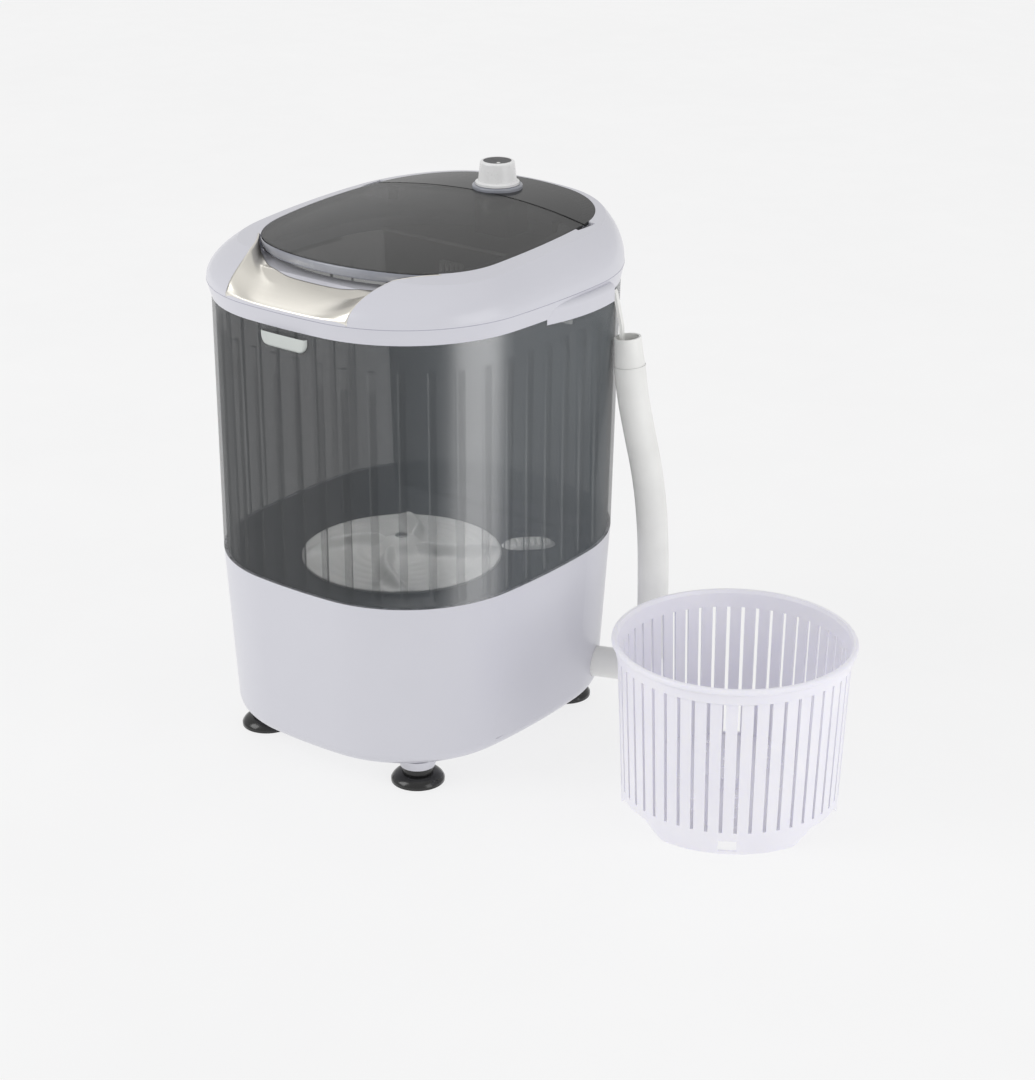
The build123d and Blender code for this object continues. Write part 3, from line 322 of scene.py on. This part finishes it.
TRIM_COLUMNS, TRIM_ROWS = 72, 40


def swoosh_x(y):
    return SWOOSH_CENTRE[0] - sqrt(SWOOSH_RADIUS ** 2 - (y - SWOOSH_CENTRE[1]) ** 2)


def seam_y(x):
    """Front of the rim at that x, on the seam under the cover."""
    point = outer_point(rim, radians(-90) + x / RIM_REACH, RIM_HEIGHT)
    for _ in range(4):
        azimuth = radians(-90) + x / hypot(point.x, point.y)
        point = outer_point(rim, azimuth, RIM_HEIGHT)
    return point.y


foot_y, edge_foot_y = seam_y(0), seam_y(TRIM_FOOT_X)
rows = []
for r in range(min(FOLD_HEIGHTS), TRIM_ROWS + 1):
    t = max(r, 0) / TRIM_ROWS
    middle_y = foot_y + (TRIM_TOP_Y - foot_y) * t
    run = middle_y - SCOOP_Y
    middle_z = SCOOP_Z + SCOOP_SLOPE * run + SCOOP_CURVE * run ** 2 + TRIM_PROUD
    edge_y = edge_foot_y + (HORN_Y - edge_foot_y) * t
    edge_x = swoosh_x(edge_y)
    found = height_below(cover, edge_x + EDGE_ASIDE, edge_y)
    edge_z = (found if found else middle_z) + TRIM_EDGE_PROUD
    row = []
    for c in range(TRIM_COLUMNS + 1):
        s = 2 * c / TRIM_COLUMNS - 1
        x = edge_x * s
        y = middle_y + (edge_y - middle_y) * abs(s) ** BOW_IN_PLAN
        z = middle_z + (edge_z - middle_z) * abs(s) ** BOW_IN_HEIGHT
        under = height_below(cover, x, y)
        if under and z < under + COVER_GAP and abs(s) < EDGE_SHARE:
            z = under + COVER_GAP
        if r < 0:
            y += FOLD_BACK
            z = FOLD_HEIGHTS[r]
        row.append((x, y, z))
    rows.append(row)
trim = grid_piece("trim_sheet", rows, TRIM, "washer", thickness=TRIM_THICKNESS)
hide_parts("front_trim")

# ---------------------------------------------------------------- pale front edge of the lid
lid_tree = surface_tree("lid")
BAND_FROM, BAND_SWEEP, BAND_STEPS = -136, 92, 96        # degrees about the centre line
BAND_HEIGHT = 0.4785                       # a height at which the ray meets the lid's skirt
BAND_ROWS = 6
BAND_DROP = 0.0012                         # from the crown down to the band's top
BAND_THIN, BAND_DEEPER = 0.0030, 0.0068    # its foot's drop at the ends, and how much more in the middle
BAND_RAMP, BAND_TAPER = 2.6, 0.7           # how soon, and with what power, the depth grows from the ends
BAND_PROUD, BAND_SWELL = 0.0004, 0.0006
BAND_THICKNESS = 0.0006

band_rows = [[] for _ in range(BAND_ROWS)]
for c in range(BAND_STEPS + 1):
    azimuth = radians(BAND_FROM + BAND_SWEEP * c / BAND_STEPS)
    edge = outer_point(lid_tree, azimuth, BAND_HEIGHT)
    if edge is None:
        continue
    out = Vector((cos(azimuth), sin(azimuth), 0))
    share = min(1.0, BAND_RAMP * (1 - abs(2 * c / BAND_STEPS - 1)))
    depth = BAND_THIN + BAND_DEEPER * share ** BAND_TAPER
    top = crown(edge.x, edge.y)
    for index, row in enumerate(band_rows):
        drop = BAND_DROP + (depth - BAND_DROP) * index / (BAND_ROWS - 1)
        swell = BAND_SWELL * sin(pi * min(1, index / (BAND_ROWS - 2)))
        place = edge + out * (BAND_PROUD + swell)
        row.append((place.x, place.y, top - drop))
grid_piece("lid_front_edge", band_rows, LID_EDGE, "lid", thickness=BAND_THICKNESS)

# ---------------------------------------------------------------- painted shadow line along the seam between rim and top cover
SEAM_FOOT, SEAM_RISE = 0.4486, 0.0003      # lowest row's height, and the rise from row to row
SEAM_BURIED, SEAM_PROUD = -0.0004, 0.00025
SEAM_STEPS, SEAM_ROWS = 240, 4

shadow_line_rows = [[] for _ in range(SEAM_ROWS)]
for c in range(SEAM_STEPS):
    azimuth = FULL_TURN * c / SEAM_STEPS
    edge = outer_point(rim, azimuth, RIM_HEIGHT)
    out = Vector((cos(azimuth), sin(azimuth), 0))
    for index, row in enumerate(shadow_line_rows):
        place = edge + out * (SEAM_BURIED if index in (0, SEAM_ROWS - 1) else SEAM_PROUD)
        row.append((place.x, place.y, SEAM_FOOT + SEAM_RISE * index))
# a thin ring standing just proud of the rim in the dark grey: the shade under the cover's lip, painted on
grid_piece("rim_seam_painted_shadow", shadow_line_rows, PAINTED_SEAM_SHADOW, "washer", closed=True)

# ---------------------------------------------------------------- pulsator: dished disc with four swept vanes
DRIVE_Y, DISC_RADIUS, DISC_FOOT = -0.028, 0.095, 0.171
DISC_HOLE, DISC_FIRST = 0.0042, 0.006      # the screw's hole, and the first ring outside it
DISC_RINGS, DISC_POINTS = 45, 192
PLATE_HEIGHT, PLATE_DISH = 0.0050, 0.0022
HUB_RISE, HUB_RADIUS = 0.0125, 0.019
VANES, VANE_SWEEP, VANE_RISE = 4, 0.75, 0.0115
VANE_HALF, VANE_WIDER = 0.0042, 0.0030     # half width at the hub, and how much more at the edge
VANE_MIDDLE, VANE_REACH = 0.52, 0.40       # as shares of the disc's radius
GROOVE_DEPTH, GROOVE_PITCH, GROOVES_FROM, GROOVES_TO = 0.0006, 0.010, 0.3, 0.9
LIP_HEIGHT, LIP_BEVEL, UNDERSIDE = 0.0008, 0.002, 0.0002
HUB_SQUARE, VANE_SQUARE = 4, 6             # powers: the higher, the steeper the hub and the vanes end


def disc_height(radius, azimuth):
    """Height of the disc's top: a dished plate with a hub and vanes, less its fine round grooves."""
    share = radius / DISC_RADIUS
    plate = PLATE_HEIGHT + PLATE_DISH * cos(pi * min(share, 1.0))
    hub = HUB_RISE * exp(-(radius / HUB_RADIUS) ** HUB_SQUARE)
    turn = (azimuth - VANE_SWEEP * share) * VANES / FULL_TURN
    offset = (turn - round(turn)) * FULL_TURN / VANES * radius
    across = exp(-(offset / (VANE_HALF + VANE_WIDER * share)) ** 2)
    along = exp(-((share - VANE_MIDDLE) / VANE_REACH) ** VANE_SQUARE)
    vane = VANE_RISE * across * along
    grooved = GROOVES_FROM < share < GROOVES_TO
    groove = GROOVE_DEPTH * max(0.0, sin(radius * FULL_TURN / GROOVE_PITCH)) if grooved else 0.0
    return DISC_FOOT + plate + max(hub, vane) - groove


drive_centre = (0, DRIVE_Y)
radii = [DISC_HOLE]
radii += [DISC_FIRST + (DISC_RADIUS - DISC_FIRST) * k / (DISC_RINGS - 1) for k in range(DISC_RINGS)]
disc_rows = [ring(drive_centre, radius, DISC_POINTS, lambda azimuth: disc_height(radius, azimuth))
             for radius in radii]
for radius, rise in ((DISC_RADIUS, LIP_HEIGHT), (DISC_RADIUS - LIP_BEVEL, UNDERSIDE),
                     (DISC_HOLE, UNDERSIDE)):
    disc_rows.append(ring(drive_centre, radius, DISC_POINTS, lambda azimuth: DISC_FOOT + rise))
disc = grid_piece("pulsator_disc", disc_rows, PALE, "pulsator_drive", closed=True)
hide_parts("pulsator")

# ---------------------------------------------------------------- ribs down the inside of the tub
tub_tree = surface_tree("tub")
RIB_FOOT, RIB_TOP, RIB_SEEK, RIB_STEP = 0.192, 0.388, 0.300, radians(0.2)
CREST_STEPS, FLANK_STEPS = 8, 10           # steps to each side that a crest and its flanks are sought in
CREST_RISE = 0.0015                        # a crest stands at least this far in from its flanks
RIB_HALF, RIB_PROUD = 0.0036, 0.0004
RIB_ROWS, RIB_COLUMNS = 24, 8


def inner_reach(azimuth, height):
    """Distance from the centre line to the tub's inner face, at that azimuth and height."""
    hit = tub_tree.ray_cast(Vector((0, 0, height)), Vector((cos(azimuth), sin(azimuth), 0)))
    return hit[3]


reaches = [inner_reach(index * RIB_STEP, RIB_SEEK) for index in range(round(FULL_TURN / RIB_STEP))]
crests = []
for index, reach in enumerate(reaches):
    beside = [reaches[(index + shift) % len(reaches)] for shift in range(-CREST_STEPS, CREST_STEPS + 1)]
    flanks = min(reaches[index - FLANK_STEPS], reaches[(index + FLANK_STEPS) % len(reaches)])
    if reach == min(beside) and flanks - reach > CREST_RISE:
        crests.append(index * RIB_STEP)
for number, azimuth in enumerate(crests):
    half_angle = RIB_HALF / inner_reach(azimuth, RIB_SEEK)
    rib_rows = []
    for r in range(RIB_ROWS + 1):
        height = RIB_FOOT + (RIB_TOP - RIB_FOOT) * r / RIB_ROWS
        row = []
        for c in range(RIB_COLUMNS + 1):
            angle = azimuth + half_angle * (2 * c / RIB_COLUMNS - 1)
            reach = inner_reach(angle, height) - RIB_PROUD
            row.append((reach * cos(angle), reach * sin(angle), height))
        rib_rows.append(row)
    grid_piece(f"tub_rib_{number + 1:02d}", rib_rows, RIB, "washer")

# ---------------------------------------------------------------- pale clip under the front of the rim
CLIP_FOOT, CLIP_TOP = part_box("front_clip")[0][2] - 0.0035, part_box("tub_rim")[0][2] + 0.0004
CLIP_HALF, CLIP_CORNER, CLIP_PROUD = 0.0265, 0.0100, 0.0034
CLIP_ROUND = 0.0025                        # height over which the foot rounds back to the wall
CLIP_SQUARE = 24                           # power: the higher, the sharper the upright edges
WALL_GAP, RAY_START_Y = 0.0003, -0.3
CLIP_ROWS, CLIP_COLUMNS = 24, 48

clip_rows = []
for r in range(CLIP_ROWS + 1):
    height = CLIP_TOP - (CLIP_TOP - CLIP_FOOT) * sin(pi / 2 * r / CLIP_ROWS)
    bite = max(0.0, CLIP_CORNER - (height - CLIP_FOOT)) / CLIP_CORNER
    half = CLIP_HALF - CLIP_CORNER * (1 - sqrt(max(0.0, 1 - bite ** 2)))
    lift = CLIP_PROUD * min(1.0, (height - CLIP_FOOT) / CLIP_ROUND) ** 0.5
    row = []
    for c in range(CLIP_COLUMNS + 1):
        s = sin(pi / 2 * (2 * c / CLIP_COLUMNS - 1))
        wall = tub_tree.ray_cast(Vector((half * s, RAY_START_Y, height)), Vector((0, 1, 0)))[0]
        row.append((half * s, wall.y - WALL_GAP - lift * (1 - abs(s) ** CLIP_SQUARE) ** 0.5, height))
    clip_rows.append(row)
clip = grid_piece("clip_tab", clip_rows, CLIP, "washer")
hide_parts("front_clip")

# ---------------------------------------------------------------- slotted strainer over the drain
strainer_low, strainer_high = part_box("drain_strainer")
STRAINER_X, STRAINER_Y = (strainer_low[0] + strainer_high[0]) / 2, (strainer_low[1] + strainer_high[1]) / 2
STRAINER_HEADING, STRAINER_LONG, STRAINER_WIDE, STRAINER_RISE = radians(45), 0.026, 0.013, 0.0055
STRAINER_LIFT, STRAINER_INNER = 0.0002, 0.02        # the inner ring, as a share of the outline
END_SQUARE, SIDE_SQUARE, DOME_SQUARE = 0.7, 0.85, 5 # powers that square the outline and flatten the dome
SLOT_PITCH, SLOT_DEPTH, SLOTS_TO = 0.0065, 0.0016, 0.78
STRAINER_RINGS, STRAINER_POINTS = 40, 160

strainer_rows = []
for r in range(STRAINER_RINGS + 1):
    share = STRAINER_INNER + (1 - STRAINER_INNER) * r / STRAINER_RINGS
    row = []
    for c in range(STRAINER_POINTS):
        turn = FULL_TURN * c / STRAINER_POINTS
        along = STRAINER_LONG * share * copysign(abs(cos(turn)) ** END_SQUARE, cos(turn))
        across = STRAINER_WIDE * share * copysign(abs(sin(turn)) ** SIDE_SQUARE, sin(turn))
        slot = max(0.0, sin(along * FULL_TURN / SLOT_PITCH)) ** 0.5 if share < SLOTS_TO else 0.0
        rise = STRAINER_RISE * (1 - share ** DOME_SQUARE) - SLOT_DEPTH * slot
        row.append((STRAINER_X + along * cos(STRAINER_HEADING) - across * sin(STRAINER_HEADING),
                    STRAINER_Y + along * sin(STRAINER_HEADING) + across * cos(STRAINER_HEADING),
                    strainer_low[2] + STRAINER_LIFT + rise))
    strainer_rows.append(row)
strainer = grid_piece("strainer_cap", strainer_rows, PALE, "washer", closed=True)
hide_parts("drain_strainer")

# ---------------------------------------------------------------- pointer mark on the knob's cap
KNOB_Y, MARK_OFFSET = 0.121, 0.0062
MARK_POINTS = 32
MARK_PROFILE = ((0.00001, 0.0005), (0.0010, 0.00045), (0.0016, 0.0003), (0.0019, 0.0),
                (0.0019, -0.0003))                             # radius, and height above the cap

cap_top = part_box("knob_cap")[1][2]
mark_rows = [ring((MARK_OFFSET, KNOB_Y - MARK_OFFSET), radius, MARK_POINTS, lambda azimuth: cap_top + rise)
             for radius, rise in MARK_PROFILE]
grid_piece("knob_mark", mark_rows, MARK, "knob", closed=True)

# ---------------------------------------------------------------- studio
FLOOR_GLOW, FLOOR_SIZE = 0.76, 60
SKY_STRENGTH = 0.64

FLOOR = plastic("floor_pale", (0.140, 0.140, 0.142), (0.150, 0.150, 0.152),
                rough=(0.7, 0.8), grain=300, relief=0.02, patch=3)
floor_shader = FLOOR.node_tree.nodes["Principled BSDF"]
floor_shader.inputs["Emission Color"].default_value = (1, 1, 1, 1)
floor_shader.inputs["Emission Strength"].default_value = FLOOR_GLOW
mesh = bpy.data.meshes.new("floor")
builder = bmesh.new()
bmesh.ops.create_grid(builder, x_segments=1, y_segments=1, size=FLOOR_SIZE)
builder.to_mesh(mesh)
builder.free()
floor = bpy.data.objects.new("floor", mesh)
scene.collection.objects.link(floor)
dress(floor, FLOOR)

world = bpy.data.worlds.new("studio")
world.use_nodes = True
world.node_tree.nodes["Background"].inputs["Color"].default_value = (1, 1, 1, 1)
world.node_tree.nodes["Background"].inputs["Strength"].default_value = SKY_STRENGTH
scene.world = world


def soft_box(name, place, target, width, height, watts, only=None):
    """Area light; only names the one object that it lights."""
    light = bpy.data.lights.new(name, "AREA")
    light.shape = "RECTANGLE"
    light.size, light.size_y = width, height
    light.energy = watts
    lamp = bpy.data.objects.new(name, light)
    lamp.location = place
    lamp.rotation_euler = (Vector(target) - Vector(place)).to_track_quat("-Z", "Y").to_euler()
    scene.collection.objects.link(lamp)
    if only:
        receivers = bpy.data.collections.new(name + "_receivers")
        receivers.objects.link(only)
        lamp.light_linking.receiver_collection = receivers
    return lamp


soft_box("key_left", (-1.6, -2.2, 2.2), (0, 0, 0.25), width=1.8, height=1.8, watts=32)
soft_box("side_panel", (1.9, 0.05, 0.8), (0, 0, 0.3), width=1.2, height=1.4, watts=8)
soft_box("tub_strip", (1.9, 0.12, 0.6), (0, 0, 0.3), width=1.4, height=1.2, watts=115,
         only=frame["nodes"]["tub"])
soft_box("top_panel", (0.1, 0.2, 2.8), (0.1, 0.1, 0), width=2.4, height=2.4, watts=3)
soft_box("trim_panel", (-1.13, 0.98, 1.62), (0, -0.16, 0.46), width=0.7, height=0.5, watts=1.1, only=trim)
glow_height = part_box("tub")[1][2] - 0.02   # just inside the tub's mouth, shining down on the pulsator
tub_glow = soft_box("tub_glow", (0, DRIVE_Y, glow_height), (0, DRIVE_Y, 0),
                    width=0.14, height=0.12, watts=0.75)
tub_glow.visible_camera = False
